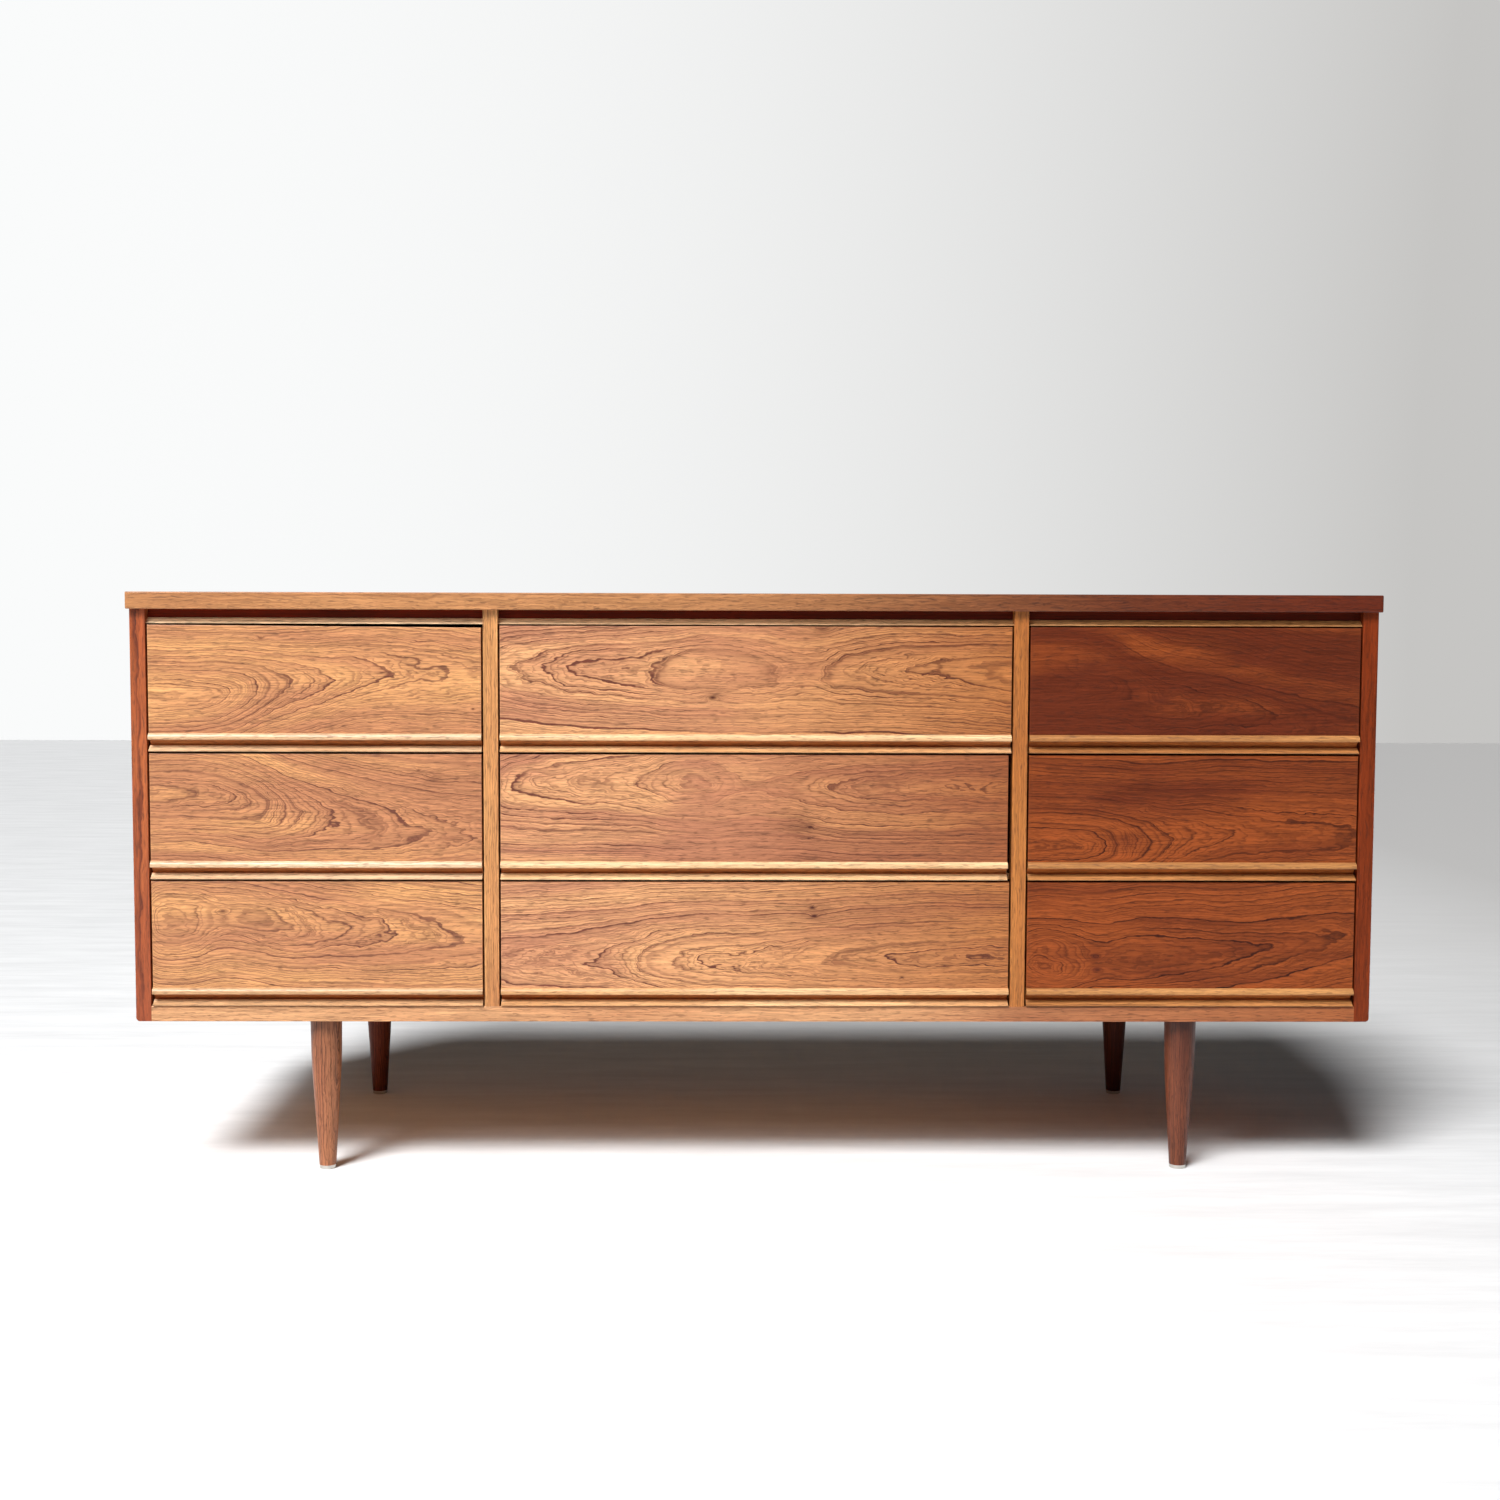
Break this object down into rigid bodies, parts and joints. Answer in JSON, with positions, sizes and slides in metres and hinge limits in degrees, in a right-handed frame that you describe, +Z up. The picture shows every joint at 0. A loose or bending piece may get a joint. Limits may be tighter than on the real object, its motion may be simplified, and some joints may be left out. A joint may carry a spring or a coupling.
{
  "type": "dresser with drawers",
  "caption": "Long low walnut dresser on four tapered legs, with rows of drawers in three columns that open by sculpted finger pulls along their lower edges.",
  "frame": {"origin": "on the floor, under the middle of the dresser", "axes": "+X to the right as seen from the front, +Y to the back, +Z up"},
  "size_m": [1.618, 0.483, 0.76],
  "materials": {
    "case_walnut": "satin lacquer over walnut veneer",
    "face_walnut": "satin lacquer over figured walnut veneer",
    "moulding_walnut": "satin lacquer over solid walnut",
    "leg_walnut": "satin lacquer over turned solid walnut",
    "inner_maple": "planed and thinly sealed",
    "plywood": "unsanded ply face",
    "steel": "zinc plated",
    "nickel": "polished nickel"
  },
  "bodies": {
    "case": {"top_panel": "case_walnut", "side_panel_left": "case_walnut", "side_panel_right": "case_walnut", "divider_left": "case_walnut", "divider_right": "case_walnut", "bottom_panel": "case_walnut", "back_panel": "plywood", "back_screws": "steel", "top_rails": "case_walnut", "front_rails_1": "moulding_walnut", "front_rails_2": "moulding_walnut", "front_rails_3": "moulding_walnut", "front_rails_4": "moulding_walnut", "rear_rails": "inner_maple", "bearers": "inner_maple", "top_glue_blocks": "inner_maple", "drawer_stops": "inner_maple", "leg_front_left": "leg_walnut", "leg_front_right": "leg_walnut", "leg_back_left": "leg_walnut", "leg_back_right": "leg_walnut", "hanger_bolts": "steel", "flanged_nuts": "steel", "foot_glides": "nickel"},
    "drawer_left_bottom": {"drawer_left_bottom_face": "face_walnut", "drawer_left_bottom_pull": "moulding_walnut", "drawer_left_bottom_box": "inner_maple", "drawer_left_bottom_tray": "plywood"},
    "drawer_left_middle": {"drawer_left_middle_face": "face_walnut", "drawer_left_middle_pull": "moulding_walnut", "drawer_left_middle_box": "inner_maple", "drawer_left_middle_tray": "plywood"},
    "drawer_left_top": {"drawer_left_top_face": "face_walnut", "drawer_left_top_pull": "moulding_walnut", "drawer_left_top_box": "inner_maple", "drawer_left_top_tray": "plywood"},
    "drawer_centre_bottom": {"drawer_centre_bottom_face": "face_walnut", "drawer_centre_bottom_pull": "moulding_walnut", "drawer_centre_bottom_box": "inner_maple", "drawer_centre_bottom_tray": "plywood"},
    "drawer_centre_middle": {"drawer_centre_middle_face": "face_walnut", "drawer_centre_middle_pull": "moulding_walnut", "drawer_centre_middle_box": "inner_maple", "drawer_centre_middle_tray": "plywood"},
    "drawer_centre_top": {"drawer_centre_top_face": "face_walnut", "drawer_centre_top_pull": "moulding_walnut", "drawer_centre_top_box": "inner_maple", "drawer_centre_top_tray": "plywood"},
    "drawer_right_bottom": {"drawer_right_bottom_face": "face_walnut", "drawer_right_bottom_pull": "moulding_walnut", "drawer_right_bottom_box": "inner_maple", "drawer_right_bottom_tray": "plywood"},
    "drawer_right_middle": {"drawer_right_middle_face": "face_walnut", "drawer_right_middle_pull": "moulding_walnut", "drawer_right_middle_box": "inner_maple", "drawer_right_middle_tray": "plywood"},
    "drawer_right_top": {"drawer_right_top_face": "face_walnut", "drawer_right_top_pull": "moulding_walnut", "drawer_right_top_box": "inner_maple", "drawer_right_top_tray": "plywood"}
  },
  "joints": [
    {"name": "drawer_left_bottom_slide", "type": "slide", "parent": "case", "child": "drawer_left_bottom", "axis": [0, -1, 0], "range_m": [0, 0.33]},
    {"name": "drawer_left_middle_slide", "type": "slide", "parent": "case", "child": "drawer_left_middle", "axis": [0, -1, 0], "range_m": [0, 0.33]},
    {"name": "drawer_left_top_slide", "type": "slide", "parent": "case", "child": "drawer_left_top", "axis": [0, -1, 0], "range_m": [0, 0.33]},
    {"name": "drawer_centre_bottom_slide", "type": "slide", "parent": "case", "child": "drawer_centre_bottom", "axis": [0, -1, 0], "range_m": [0, 0.33]},
    {"name": "drawer_centre_middle_slide", "type": "slide", "parent": "case", "child": "drawer_centre_middle", "axis": [0, -1, 0], "range_m": [0, 0.33]},
    {"name": "drawer_centre_top_slide", "type": "slide", "parent": "case", "child": "drawer_centre_top", "axis": [0, -1, 0], "range_m": [0, 0.33]},
    {"name": "drawer_right_bottom_slide", "type": "slide", "parent": "case", "child": "drawer_right_bottom", "axis": [0, -1, 0], "range_m": [0, 0.33]},
    {"name": "drawer_right_middle_slide", "type": "slide", "parent": "case", "child": "drawer_right_middle", "axis": [0, -1, 0], "range_m": [0, 0.33]},
    {"name": "drawer_right_top_slide", "type": "slide", "parent": "case", "child": "drawer_right_top", "axis": [0, -1, 0], "range_m": [0, 0.33]}
  ]
}
